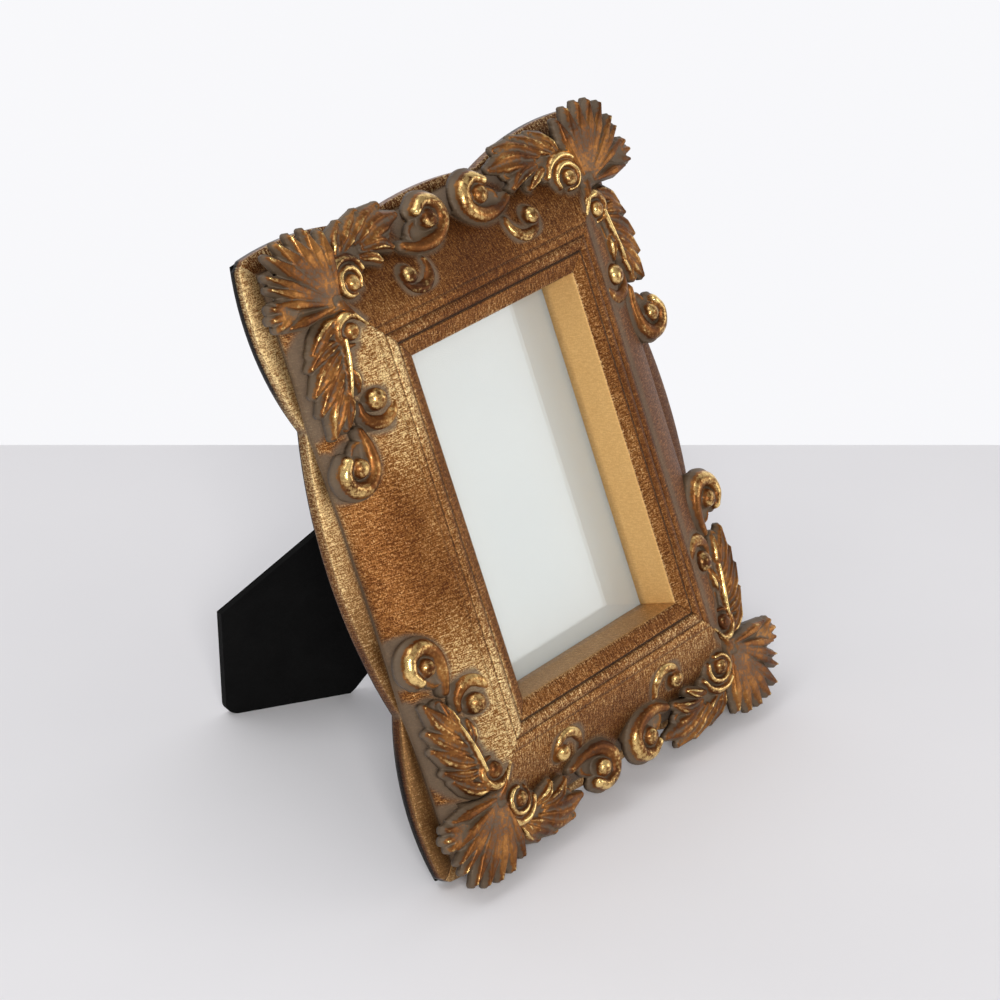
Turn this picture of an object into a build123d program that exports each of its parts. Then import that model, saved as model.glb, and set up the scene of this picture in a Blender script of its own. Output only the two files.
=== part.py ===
from build123d import *
import os
from math import atan2, cos, degrees, hypot, pi, radians, sin, sqrt, tan

# A gilded table frame for a 4 x 6 inch photo: four mitred rails with applied
# carved ornament, glass, a photo card and a velvet easel back whose leg swings
# out on a slanted hinge.
# The frame is drawn upright, x to the right, y back from the ridge round the
# picture and z up, and is then leaned back on its leg. All sizes in millimetres.

# Picture and the package behind the opening
PHOTO_W = 101.6
PHOTO_H = 152.4
PACK_PLAY = 0.8           # glass, card and board are this much larger than the photo
REBATE_GAP = 0.3          # gap between the package and the rebate, each side
SIGHT_W = 89.2            # clear opening
SIGHT_H = 134.0
GLASS_AT = 20.5           # glass front, behind the ridge
GLASS_T = 2.0
CARD_T = 1.0
BOARD_T = 4.3
FELT_T = 0.8
FELT_INSET = 0.8

# Moulding section, measured outward from the ridge on a side rail
RAIL_RATIO = 1.13         # top and bottom rails are wider than the side rails
FILLET_W = 6.4            # sloping band between the ridge and the opening
FILLET_DROP = 2.3
CRACK_W = 0.9             # dark line between the band and the ridge
CRACK_DEPTH = 0.9
RIDGE_W = 3.4             # rounded ridge
RIDGE_CROWN = 0.5
BEAD_AT = 4.2             # fine bead outside the ridge
BEAD_W = 2.8
BEAD_CROWN = 0.4
QUIRK_DEPTH = 1.3         # fine grooves either side of the bead
FACE_AT = 8.2             # broad convex face
FACE_TOP = 1.2
FACE_W = 34.6             # the face ends here, at the groove inside the rim
FACE_END = 19.6
FACE_BULGE = 2.9
FACE_FLATS = 5            # flats that the face is planed in
GROOVE_W = 0.8
GROOVE_DEPTH = 1.6

# Scalloped rim
LIP_AT = 22.0             # edge where the rim meets the side wall
LIP_T = 5.0
RIM_W = 12.0
RIM_RISE = 1.7
RIM_SOFT = 2.0            # softened outer edge of the rim
RIM_SOFT_RISE = 0.9
RIM_RUN_ON = 3.0          # each lobe's rim runs on this far into the next one
NOTCH_IN = 19.0           # notches lie this far inside the ridge corners
SIDE_NOTCH = 35.0         # how far the outline stands outside the ridge
SIDE_LOBE = 43.0
TOP_NOTCH = 40.8
TOP_LOBE = 44.0
CORNER_OUT = 40.5
SIDE_CORNER_BULGE = 5.2
TOP_CORNER_BULGE = 3.6
CORNER_NIP = 1.6          # the sharp corner is taken off by this much

# Standing position
TILT = 23.2               # lean of the frame on its leg, upright picture
SIDE_TILT = 15.0          # lean when it stands on its long side
LEG_OPEN = 45.0           # leg angle from the back, at the stop
TABLE = 400.0             # a stretch of table large enough to cut the foot

# Easel leg and its hinge, on a line slanted across the back
HINGE_FROM_EDGE = 22.2    # middle of the pin, from the edge of the board
HINGE_FROM_TOP = 54.6
HINGE_SLANT = 45.0
LEG_T = 3.0
LEG_START = 3.6           # leg edge, from the pin
LEG_TOP_W = 40.0
LEG_FLARE = 7.5           # each side spreads by this angle
LEG_FOOT_W = 76.0
LEG_MAX = 260.0
TIP_R = 6.0
PIN_R = 1.0
PIN_FIT = 0.05
KNUCKLE_R = 2.0
KNUCKLE_CLEAR = 0.2
KNUCKLE_GAP = 0.3
HINGE_W = 26.0
MOVING_KNUCKLE_W = 11.0
LEAF_T = 0.8
LEAF_L = 13.0
STOP_L = 5.0
STOP_GAP = 0.1

# Turn buttons that hold the board in
BUTTON_W = 8.0
BUTTON_REACH = 13.0
BUTTON_T = 1.0
BUTTON_CUT = 2.0          # corners cut off
BUTTON_LIFT = 0.15
BUTTON_OUT = 6.5          # pivot, outside the rebate
BUTTON_SIDE_Z = 36.0      # left button is up by this, right button down
BUTTON_LOW_X = 34.0       # bottom button is to the right by this
SCREW_R = 1.3
SCREW_HEAD_R = 2.7
SCREW_HEAD_T = 1.3
SCREW_L = 6.0
SCREW_FIT = 0.06

# Ornament, out from the ridge and along from the ridge corner (towards the
# middle of a rail is negative)
DECK_AT = (17.0, 4.6)     # the ornament's drawing plane: out from the ridge, and behind it
DECK_LEAN = 9.0           # it leans back less than the face, so its outer parts stand free
CORNER_EYE = (18.5, 10.5)
INNER_EYE = (15.5, -15.0)
END_EYE = (31.5, -36.0)
CORNER_EYE_R = 3.3
INNER_EYE_R = 3.0
END_EYE_R = 4.2
CURL_AT = 1.2             # scroll ends, outside their eye
CURL_OUT = 3.6            # scroll back, outside its eye
CURL_BITE = 0.4           # scroll reaches this far into its eye
CURL_SWEEP = 215.0
CURL_STEPS = 5
CORNER_CURL_FROM = -20.0
INNER_CURL_FROM = 160.0
END_CURL_FROM = 150.0
EYE_SIDES = 8
EYE_LIFT = 3.0            # top of an eye, above the drawing plane
EYE_SLOPE = 1.3           # sloped edge of an eye
RELIEF_T = 4.0            # leaves and scrolls reach this far below the drawing plane
LEAF_LIFT = 0.4           # leaf, above it
RIB_LIFT = 1.8            # ribs and scrolls
FINGERS = 5
FINGER_ROOTS = ((19.5, 4.5), (24.5, -11.0))
FINGER_TIPS = ((33.5, 9.5), (36.0, -17.5))
VALLEY = 0.62             # notches between fingers, from root to tip
RIB_W = 0.8
RIB_FIRST = 0.12          # ribs leave the midrib from there
RIB_RUN = 0.5             # over this share of it
MIDRIB_W = 1.5
STEM_W = 2.0
STEM_AT = 0.4             # stems leave the leaf there
LEAF_HEEL = (17.0, 5.0)
LEAF_TIP = (32.0, -27.0)
LEAF_BULGE = 2.5
EYE_POST = 14.0           # eyes stand on posts, cut to the rails
RIB_START = 0.07          # ribs start and stop short of the leaf's ends
RIB_END = 0.9
PETALS = 5
PETAL_W = 5.0             # half width of a petal
PETAL_BELLY = 0.74        # widest there, from root to tip
PETAL_NECK = 0.88         # and drawn in to its point from there
PETAL_ROOT = 0.25         # width at its root, from its full width
PETAL_RIB = 1.3
PETAL_RIB_W = 1.6
PETAL_T = 5.0             # petals stand free of the corner, this thick
FAN_ROOT = (15.0, 18.0)
FAN_LIFT = 0.5
FAN_HEART = 3.6
FAN_LEAN = 2.6            # the heart faces this much more to the front than outward
FAN_LENGTH = 38.0
FAN_SHORT = 9.5           # the outer petals are shorter by this
FAN_TIP_AT = 7.2          # petal tips, behind the ridge
FAN_STAGGER = 0.9         # every other petal lies higher
FAN_AXIS = 51.0           # direction of the middle petal from the side rail's normal
FAN_SPREAD = 35.0         # outer petals turn from it by this angle

# Worked out
RIDGE_X = SIGHT_W / 2 + FILLET_W
RIDGE_Z = SIGHT_H / 2 + FILLET_W * RAIL_RATIO
BACK = LIP_AT + LIP_T
BOARD_BACK = GLASS_AT + GLASS_T + CARD_T + BOARD_T
PACK_W = PHOTO_W + PACK_PLAY
PACK_H = PHOTO_H + PACK_PLAY
REBATE_W = PACK_W + 2 * REBATE_GAP
REBATE_H = PACK_H + 2 * REBATE_GAP
HINGE_X = PACK_W / 2 - HINGE_FROM_EDGE
HINGE_Z = PACK_H / 2 - HINGE_FROM_TOP
PIN_AT = KNUCKLE_R + KNUCKLE_CLEAR
DEEP = 300.0              # longer than any rail

CORNER = (RIDGE_X + CORNER_OUT, RIDGE_Z + CORNER_OUT * RAIL_RATIO)
NOTCH_RIGHT = (RIDGE_X + SIDE_NOTCH, RIDGE_Z - NOTCH_IN)
NOTCH_TOP = (RIDGE_X - NOTCH_IN, RIDGE_Z + TOP_NOTCH)


def circle_through(p, q, r):
    """Centre and radius of the circle through three points of a plane."""
    ax, az = q[0] - p[0], q[1] - p[1]
    bx, bz = r[0] - p[0], r[1] - p[1]
    cross = 2 * (ax * bz - az * bx)
    aa, bb = ax * ax + az * az, bx * bx + bz * bz
    ux, uz = (bz * aa - az * bb) / cross, (ax * bb - bx * aa) / cross
    return (p[0] + ux, p[1] + uz), hypot(ux, uz)


def bulged(p, q, bulge):
    """Middle point of an arc from p to q, to the right of that direction."""
    length = hypot(q[0] - p[0], q[1] - p[1])
    right = ((q[1] - p[1]) / length, (p[0] - q[0]) / length)
    return ((p[0] + q[0]) / 2 + right[0] * bulge, (p[1] + q[1]) / 2 + right[1] * bulge)


FACE_START_POINT = (FACE_AT, FACE_TOP)
FACE_END_POINT = (FACE_W, FACE_END)
FACE_MIDDLE = bulged(FACE_START_POINT, FACE_END_POINT, FACE_BULGE)
FACE_CENTRE, FACE_R = circle_through(FACE_START_POINT, FACE_MIDDLE, FACE_END_POINT)


def face_depth(out):
    """How far the broad face lies behind the ridge, at a distance outside it."""
    reach = min(max(out, 0.0), FACE_W + RIM_W) - FACE_CENTRE[0]
    return FACE_CENTRE[1] - sqrt(max(FACE_R ** 2 - reach ** 2, 1.0))


def face_flats():
    """Edges of the flats that the broad face is planed in, along its arc."""
    first = atan2(FACE_START_POINT[1] - FACE_CENTRE[1], FACE_START_POINT[0] - FACE_CENTRE[0])
    last = atan2(FACE_END_POINT[1] - FACE_CENTRE[1], FACE_END_POINT[0] - FACE_CENTRE[0])
    angles = [first + (last - first) * i / FACE_FLATS for i in range(FACE_FLATS + 1)]
    return [(FACE_CENTRE[0] + FACE_R * cos(a), FACE_CENTRE[1] + FACE_R * sin(a)) for a in angles]


def front_view(depth):
    """Drawing plane parallel to the picture: x right, y up, facing the viewer."""
    return Plane(origin=(0, depth, 0), x_dir=(1, 0, 0), z_dir=(0, -1, 0))


# Rails

def moulding_section(ridge, ratio):
    """Rail section without its rim: x out from the picture's middle, y back."""
    def at(out, back):
        return (ridge + out * ratio, back)

    ridge_edges = at(0, RIDGE_CROWN), at(RIDGE_W, RIDGE_CROWN)
    bead_edges = at(BEAD_AT, RIDGE_CROWN + BEAD_CROWN), at(BEAD_AT + BEAD_W, RIDGE_CROWN + BEAD_CROWN)
    lines = [
        Polyline(
            at(-FILLET_W, GLASS_AT), at(-FILLET_W, FILLET_DROP), at(-CRACK_W, RIDGE_CROWN),
            at(-CRACK_W / 2, RIDGE_CROWN + CRACK_DEPTH), ridge_edges[0],
        ),
        ThreePointArc(ridge_edges[0], at(RIDGE_W / 2, 0), ridge_edges[1]),
        Polyline(ridge_edges[1], at((RIDGE_W + BEAD_AT) / 2, QUIRK_DEPTH), bead_edges[0]),
        ThreePointArc(bead_edges[0], at(BEAD_AT + BEAD_W / 2, RIDGE_CROWN), bead_edges[1]),
        Polyline(
            bead_edges[1], at((BEAD_AT + BEAD_W + FACE_AT) / 2, QUIRK_DEPTH + BEAD_CROWN),
            *[at(*spot) for spot in face_flats()],
            at(FACE_W + GROOVE_W / 2, FACE_END + GROOVE_DEPTH),
            at(FACE_W + GROOVE_W / 2, BACK), at(-FILLET_W, BACK), at(-FILLET_W, GLASS_AT),
        ),
    ]
    return make_face(lines)


def rim(start, middle, end):
    """Rounded rim of one lobe of the outline, running counter-clockwise in front view."""
    centre, radius = circle_through(start, middle, end)
    across = ((start[0] - centre[0]) / radius, (start[1] - centre[1]) / radius)
    plane = Plane(origin=(centre[0], 0, centre[1]), x_dir=(across[0], 0, across[1]), z_dir=(-across[1], 0, across[0]))
    section = make_face([Polyline(
        (radius, LIP_AT), (radius - RIM_SOFT, LIP_AT - RIM_SOFT_RISE), (radius - RIM_W, LIP_AT - RIM_RISE),
        (radius - RIM_W, BACK), (radius, BACK), (radius, LIP_AT),
    )])
    first = atan2(start[1] - centre[1], start[0] - centre[0])
    last = atan2(end[1] - centre[1], end[0] - centre[0])
    turn = degrees(last - first) % 360
    axis = Axis((centre[0], 0, centre[1]), (0, -1, 0))
    run_on = degrees(RIM_RUN_ON / radius)
    return revolve((plane * section).rotate(axis, -run_on), axis, revolution_arc=turn + 2 * run_on)


def mitre(sign_x, sign_z, outward):
    """Plane of a mitre, facing the side rail (outward 1) or the top rail (-1)."""
    run = (CORNER_OUT * sign_x, CORNER_OUT * RAIL_RATIO * sign_z)
    normal = (run[1] * sign_z * sign_x * outward, 0, -run[0] * sign_x * sign_z * outward)
    return Plane(origin=(RIDGE_X * sign_x, 0, RIDGE_Z * sign_z), z_dir=normal)


def rebate():
    box = Box(REBATE_W, BACK, REBATE_H, align=(Align.CENTER, Align.MIN, Align.CENTER))
    return Pos(0, GLASS_AT, 0) * box


def corner_nip(sign_x, sign_z):
    """Plane that takes the sharp point off a corner, facing the rail."""
    run = hypot(CORNER_OUT, CORNER_OUT * RAIL_RATIO)
    out = (CORNER_OUT * sign_x / run, CORNER_OUT * RAIL_RATIO * sign_z / run)
    point = (CORNER[0] * sign_x - out[0] * CORNER_NIP, 0, CORNER[1] * sign_z - out[1] * CORNER_NIP)
    return Plane(origin=point, z_dir=(-out[0], 0, -out[1]))


def right_rail():
    low_corner, low_notch = (CORNER[0], -CORNER[1]), (NOTCH_RIGHT[0], -NOTCH_RIGHT[1])
    blank = extrude(moulding_section(RIDGE_X, 1.0), DEEP / 2, both=True)
    lobes = [
        rim(low_corner, bulged(low_corner, low_notch, SIDE_CORNER_BULGE), low_notch),
        rim(low_notch, (RIDGE_X + SIDE_LOBE, 0), NOTCH_RIGHT),
        rim(NOTCH_RIGHT, bulged(NOTCH_RIGHT, CORNER, SIDE_CORNER_BULGE), CORNER),
    ]
    rail = blank + lobes
    for sign_z in (1, -1):
        rail = split(rail, bisect_by=mitre(1, sign_z, 1), keep=Keep.TOP)
        rail = split(rail, bisect_by=corner_nip(1, sign_z), keep=Keep.TOP)
    return rail - rebate()


def top_rail():
    left_corner, left_notch = (-CORNER[0], CORNER[1]), (-NOTCH_TOP[0], NOTCH_TOP[1])
    upright = Plane(origin=(0, 0, 0), x_dir=(0, 0, 1), z_dir=(-1, 0, 0))
    blank = extrude(upright * moulding_section(RIDGE_Z, RAIL_RATIO), DEEP / 2, both=True)
    lobes = [
        rim(CORNER, bulged(CORNER, NOTCH_TOP, TOP_CORNER_BULGE), NOTCH_TOP),
        rim(NOTCH_TOP, (0, RIDGE_Z + TOP_LOBE), left_notch),
        rim(left_notch, bulged(left_notch, left_corner, TOP_CORNER_BULGE), left_corner),
    ]
    rail = blank + lobes
    for sign_x in (1, -1):
        rail = split(rail, bisect_by=mitre(sign_x, 1, -1), keep=Keep.TOP)
        rail = split(rail, bisect_by=corner_nip(sign_x, 1), keep=Keep.TOP)
    return rail - rebate()


# Carved ornament

class Skin:
    """Places ornament over the broad face near the upper right corner."""

    def __init__(self, ratio, on_top):
        self.ratio = ratio
        self.on_top = on_top

    def way(self, out, back, along):
        return Vector(along, back, out) if self.on_top else Vector(out, back, along)

    def point(self, spot):
        """A place of the ornament on its drawing plane."""
        back = DECK_AT[1] + (spot[0] - DECK_AT[0]) * self.ratio * tan(radians(DECK_LEAN))
        return Vector(RIDGE_X, 0, RIDGE_Z) + self.way(spot[0] * self.ratio, back, spot[1])

    def plane(self, spot):
        lean = radians(DECK_LEAN)
        outward, normal = self.way(cos(lean), sin(lean), 0), self.way(sin(lean), -cos(lean), 0)
        return Plane(origin=self.point(spot), x_dir=outward, z_dir=normal)

    def flat(self, spot):
        """The same place in the drawing plane's own coordinates."""
        place = self.plane((DECK_AT[0], 0)).to_local_coords(self.point(spot))
        return (place.X, place.Y)

    def arc(self, start, end, bulge):
        return ThreePointArc(self.flat(start), self.flat(bulged(start, end, bulge)), self.flat(end))


def eye(plane, radius):
    """Faceted button of a volute on its post, with a sloped edge."""
    button = extrude(Pos(0, 0, -EYE_POST) * RegularPolygon(radius, EYE_SIDES), EYE_POST + EYE_LIFT)
    return plane * chamfer(button.edges().group_by(Axis.Z)[-1], EYE_SLOPE)


def drawn_together(drawings):
    whole = drawings[0]
    for drawing in drawings[1:]:
        whole = whole + drawing
    return whole


def carved(plane, leaf_drawing, rib_drawing, eyes, seats):
    """Two levels of relief on a drawing plane, with eyes, cut to sit on the rails."""
    low = Plane(plane.location * Pos(0, 0, -RELIEF_T))
    whole = extrude(low * leaf_drawing, RELIEF_T + LEAF_LIFT)
    ribs = extrude(low * rib_drawing, RELIEF_T + RIB_LIFT)
    for piece in ribs.solids() + eyes:
        whole = whole + piece
    for seat in seats:
        whole = whole - seat
    return whole.solids().sort_by(SortBy.VOLUME)[-1]


def between(p, q, share):
    return (p[0] + (q[0] - p[0]) * share, p[1] + (q[1] - p[1]) * share)


def blade(skin, start, end, width):
    """Slim pointed strip between two places."""
    corners = [start, bulged(start, end, width), end, bulged(end, start, width), start]
    return make_face([Polyline(*[skin.flat(spot) for spot in corners])])


def curl(skin, place, eye_r, first_angle):
    """Crescent round an eye, pointed at both ends, angles from the outward direction."""
    def around(reach, share):
        angle = radians(first_angle + share * CURL_SWEEP)
        return skin.flat((place[0] + reach * cos(angle) / skin.ratio, place[1] + reach * sin(angle)))

    shares = [i / CURL_STEPS for i in range(CURL_STEPS + 1)]
    tip = eye_r + CURL_AT
    back = [around(tip + (CURL_OUT - CURL_AT) * sin(pi * s), s) for s in shares]
    belly = [around(tip - (CURL_AT + CURL_BITE) * sin(pi * s), s) for s in shares[-2:0:-1]]
    return make_face([Polyline(*back, *belly, back[0])])


def leaf(skin):
    """Leaf with a fingered outer edge, from its heel by the corner to its long tip."""
    edge = [LEAF_HEEL]
    for i in range(FINGERS):
        share, next_share = i / (FINGERS - 1), (i + 0.5) / (FINGERS - 1)
        edge.append(between(*FINGER_TIPS, share))
        edge.append(between(between(*FINGER_ROOTS, next_share), between(*FINGER_TIPS, next_share), VALLEY))
    edge.append(LEAF_TIP)
    fingers = Polyline(*[skin.flat(spot) for spot in edge])
    return make_face([fingers, skin.arc(LEAF_TIP, LEAF_HEEL, LEAF_BULGE)])


def spray(skin, seats):
    """Acanthus spray of one rail's end: corner volute, leaf, inner scroll, end volute."""
    volutes = (
        (CORNER_EYE, CORNER_EYE_R, CORNER_CURL_FROM),
        (INNER_EYE, INNER_EYE_R, INNER_CURL_FROM),
        (END_EYE, END_EYE_R, END_CURL_FROM),
    )
    curls = [curl(skin, *volute) for volute in volutes]
    stem_root = between(LEAF_HEEL, LEAF_TIP, STEM_AT)
    stems = [blade(skin, stem_root, place, STEM_W) for place, _, _ in volutes]
    rib_start, rib_tip = between(LEAF_HEEL, LEAF_TIP, RIB_START), between(LEAF_HEEL, LEAF_TIP, RIB_END)
    ribs = [blade(skin, rib_start, rib_tip, MIDRIB_W)]
    for i in range(FINGERS):
        share = i / (FINGERS - 1)
        root, tip = between(rib_start, rib_tip, RIB_FIRST + RIB_RUN * share), between(*FINGER_TIPS, share)
        ribs.append(blade(skin, root, between(root, tip, RIB_END), RIB_W))
    buttons = [eye(skin.plane(place), eye_r) for place, eye_r, _ in volutes]
    ground = drawn_together([leaf(skin)] + stems)
    return carved(skin.plane((DECK_AT[0], 0)), ground, drawn_together(curls + ribs), buttons, seats)


def fan(seats):
    """Palmette over a mitre: flat lobes, each with a rib, spread from one root past the corner."""
    root = Vector(RIDGE_X + FAN_ROOT[0], face_depth(FAN_ROOT[0]) - FAN_LIFT, RIDGE_Z + FAN_ROOT[1])
    heart = Plane(origin=root, z_dir=(1, -FAN_LEAN, 1))
    whole = eye(heart, FAN_HEART)
    for i in range(PETALS):
        share = 2 * i / (PETALS - 1) - 1
        angle = radians(FAN_AXIS + FAN_SPREAD * share)
        level = FAN_TIP_AT - FAN_STAGGER * (i % 2)
        length = FAN_LENGTH - FAN_SHORT * abs(share)
        way = Vector(length * cos(angle), level - root.Y, length * sin(angle))
        plane = Plane(origin=root, x_dir=way, z_dir=way.cross(Vector(0, -1, 0)).cross(way))
        tip, belly = way.length, way.length * PETAL_BELLY
        half = [(FAN_HEART / 2, PETAL_W * PETAL_ROOT), (belly, PETAL_W), (tip * PETAL_NECK, PETAL_W * PETAL_NECK)]
        lobe = make_face([Polyline(*half, (tip, 0), *[(x, -y) for x, y in reversed(half)], half[0])])
        kite = [(0, 0), (belly, PETAL_RIB_W), (tip * RIB_END, 0), (belly, -PETAL_RIB_W), (0, 0)]
        rib = Pos(0, 0, PETAL_RIB) * make_face([Polyline(*kite)])
        for drawing in (lobe, rib):
            whole = whole + plane * extrude(drawing, -PETAL_T)
    for seat in seats:
        whole = whole - seat
    return whole.solids().sort_by(SortBy.VOLUME)[-1]


# Package and back

def slab(width, height, front, thickness):
    box = Box(width, thickness, height, align=(Align.CENTER, Align.MIN, Align.CENTER))
    return Pos(0, front, 0) * box


def outline(inset):
    """Scalloped outline of the frame, drawn in by an inset."""
    corner = (CORNER[0] - inset, CORNER[1] - inset)
    right = (NOTCH_RIGHT[0] - inset, NOTCH_RIGHT[1])
    top = (NOTCH_TOP[0], NOTCH_TOP[1] - inset)
    quarter = [
        ThreePointArc(right, bulged(right, corner, SIDE_CORNER_BULGE), corner),
        ThreePointArc(corner, bulged(corner, top, TOP_CORNER_BULGE), top),
    ]
    lobes = [
        ThreePointArc((right[0], -right[1]), (RIDGE_X + SIDE_LOBE - inset, 0), right),
        ThreePointArc(top, (0, RIDGE_Z + TOP_LOBE - inset), (-top[0], top[1])),
    ]
    lines = []
    for edge in quarter:
        half = [edge, mirror(edge, about=Plane.YZ)]
        lines += half + [mirror(e, about=Plane.XZ) for e in half]
    lines += [lobes[0], mirror(lobes[0], about=Plane.YZ), lobes[1], mirror(lobes[1], about=Plane.XZ)]
    return make_face(lines)


def back_felt():
    sheet = extrude(front_view(BACK + FELT_T) * outline(FELT_INSET), FELT_T)
    window = slab(REBATE_W, REBATE_H, BACK - FELT_T, 3 * FELT_T)
    return sheet - window


# Easel hinge and leg, drawn folded flat: x along the pin, y down the leg, z off the board

SLANT = radians(HINGE_SLANT)
HINGE_PLANE = Plane(
    origin=(HINGE_X, BOARD_BACK + PIN_AT, HINGE_Z),
    x_dir=(cos(SLANT), 0, -sin(SLANT)),
    z_dir=(0, 1, 0),
)


def knuckle(width, centre_x):
    tube = Cylinder(KNUCKLE_R, width) - Cylinder(PIN_R + PIN_FIT, width)
    return Pos(centre_x, 0, 0) * Rot(0, 90, 0) * tube


def plate(width, start, end, low, thickness):
    box = Box(width, abs(end - start), thickness, align=(Align.CENTER, Align.MIN, Align.MIN))
    return Pos(0, min(start, end), low) * box


def knuckle_room(width, centre_x):
    return Pos(centre_x, 0, 0) * Rot(0, 90, 0) * Cylinder(KNUCKLE_R + KNUCKLE_CLEAR, width)


SIDE_KNUCKLE_W = (HINGE_W - MOVING_KNUCKLE_W) / 2 - KNUCKLE_GAP
SIDE_KNUCKLE_X = (HINGE_W - SIDE_KNUCKLE_W) / 2
FIXED_LEAF_LOW = -PIN_AT
LEG_LEAF_LOW = -LEAF_T - PIN_R / 2


def fixed_leaf():
    leaf = plate(HINGE_W, -LEAF_L, 0, FIXED_LEAF_LOW, LEAF_T)
    leaf = leaf - knuckle_room(MOVING_KNUCKLE_W + 2 * KNUCKLE_GAP, 0)
    bore = Rot(0, 90, 0) * Cylinder(PIN_R + PIN_FIT, HINGE_W)
    leaf = leaf - bore
    return leaf + [knuckle(SIDE_KNUCKLE_W, x) for x in (-SIDE_KNUCKLE_X, SIDE_KNUCKLE_X)]


def moving_leaf():
    """Leaf under the leg, with a stop tail that meets the fixed leaf at the open angle."""
    leaf = plate(HINGE_W, 0, LEAF_L, LEG_LEAF_LOW, LEAF_T)
    room = [knuckle_room(SIDE_KNUCKLE_W + 2 * KNUCKLE_GAP, x) for x in (-SIDE_KNUCKLE_X, SIDE_KNUCKLE_X)]
    tail_low = FIXED_LEAF_LOW + LEAF_T + STOP_GAP
    tail = plate(MOVING_KNUCKLE_W, -KNUCKLE_R - STOP_L, 0, tail_low, LEAF_T)
    tail = Rot(-LEG_OPEN, 0, 0) * tail
    leaf = leaf - room + knuckle(MOVING_KNUCKLE_W, 0) + tail
    return leaf - Rot(0, 90, 0) * Cylinder(PIN_R + PIN_FIT, HINGE_W)


def hinge_pin():
    return Rot(0, 90, 0) * Cylinder(PIN_R, HINGE_W)


def leg_blank():
    """Flared leg, longer than needed, folded against the board."""
    spread = tan(radians(LEG_FLARE))
    shoulder = LEG_START + (LEG_FOOT_W - LEG_TOP_W) / 2 / spread
    top, foot = LEG_TOP_W / 2, LEG_FOOT_W / 2
    shape = make_face([Polyline(
        (-top, LEG_START), (-foot, shoulder), (-foot, LEG_MAX), (foot, LEG_MAX), (foot, shoulder), (top, LEG_START),
        (-top, LEG_START),
    )])
    return extrude(Pos(0, 0, LEG_LEAF_LOW + LEAF_T) * shape, LEG_T)


def table_block(tilt, on_long_side):
    """The space below the table when the frame stands at a tilt, in upright drawing."""
    lean = radians(tilt)
    if on_long_side:
        low = -max(point_reach(NOTCH_RIGHT, CORNER, SIDE_CORNER_BULGE, 0), RIDGE_X + SIDE_LOBE)
        plane = Plane(origin=(low, BACK, 0), z_dir=(-cos(lean), sin(lean), 0))
    else:
        low = -max(point_reach(CORNER, NOTCH_TOP, TOP_CORNER_BULGE, 1), RIDGE_Z + TOP_LOBE)
        plane = Plane(origin=(0, BACK, low), z_dir=(0, sin(lean), -cos(lean)))
    return plane * Box(TABLE, TABLE, TABLE, align=(Align.CENTER, Align.CENTER, Align.MIN))


def point_reach(start, end, bulge, axis):
    """Furthest reach of a lobe along x (0) or z (1)."""
    centre, radius = circle_through(start, bulged(start, end, bulge), end)
    return centre[axis] + radius


def on_hinge(shape, angle):
    """Sets a folded hinge piece on the back, swung off it by an angle."""
    return HINGE_PLANE * (Rot(angle, 0, 0) * shape)


def easel_leg():
    leg = on_hinge(leg_blank(), LEG_OPEN)
    leg = leg - table_block(TILT, False) - table_block(SIDE_TILT, True)
    leg = leg.solids().sort_by(SortBy.VOLUME)[-1]
    tip = leg.edges().sort_by_distance(HINGE_PLANE.origin)[-1]
    return fillet(tip, TIP_R)


# Turn buttons

def turn_button():
    """Flat tab with cut corners, pivot at the origin, pointing along x, thickness in z."""
    half = BUTTON_W / 2
    tab = Pos(-half, 0, 0) * Box(BUTTON_REACH + half, BUTTON_W, BUTTON_T, align=(Align.MIN, Align.CENTER, Align.MIN))
    tab = chamfer(tab.edges().filter_by(Axis.Z), BUTTON_CUT)
    return tab - Cylinder(SCREW_R + SCREW_FIT, BUTTON_T * 4)


def button_screw():
    head = Cylinder(SCREW_HEAD_R, SCREW_HEAD_T, align=(Align.CENTER, Align.CENTER, Align.MIN))
    head = Pos(0, 0, BUTTON_T + BUTTON_LIFT) * head
    shank = Cylinder(SCREW_R, SCREW_L, align=(Align.CENTER, Align.CENTER, Align.MAX))
    return head + Pos(0, 0, BUTTON_T + BUTTON_LIFT) * shank


def button_planes():
    """Pivot planes of the buttons: x towards the board, z off the back."""
    side, end = REBATE_W / 2 + BUTTON_OUT, REBATE_H / 2 + BUTTON_OUT
    depth = BACK + FELT_T + BUTTON_LIFT
    places = {
        "left": ((-side, depth, BUTTON_SIDE_Z), (1, 0, 0)),
        "right": ((side, depth, -BUTTON_SIDE_Z), (-1, 0, 0)),
        "top": ((0, depth, end), (0, 0, -1)),
        "bottom": ((BUTTON_LOW_X, depth, -end), (0, 0, 1)),
    }
    return {name: Plane(origin=o, x_dir=x, z_dir=(0, 1, 0)) for name, (o, x) in places.items()}


# Assembly

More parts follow.
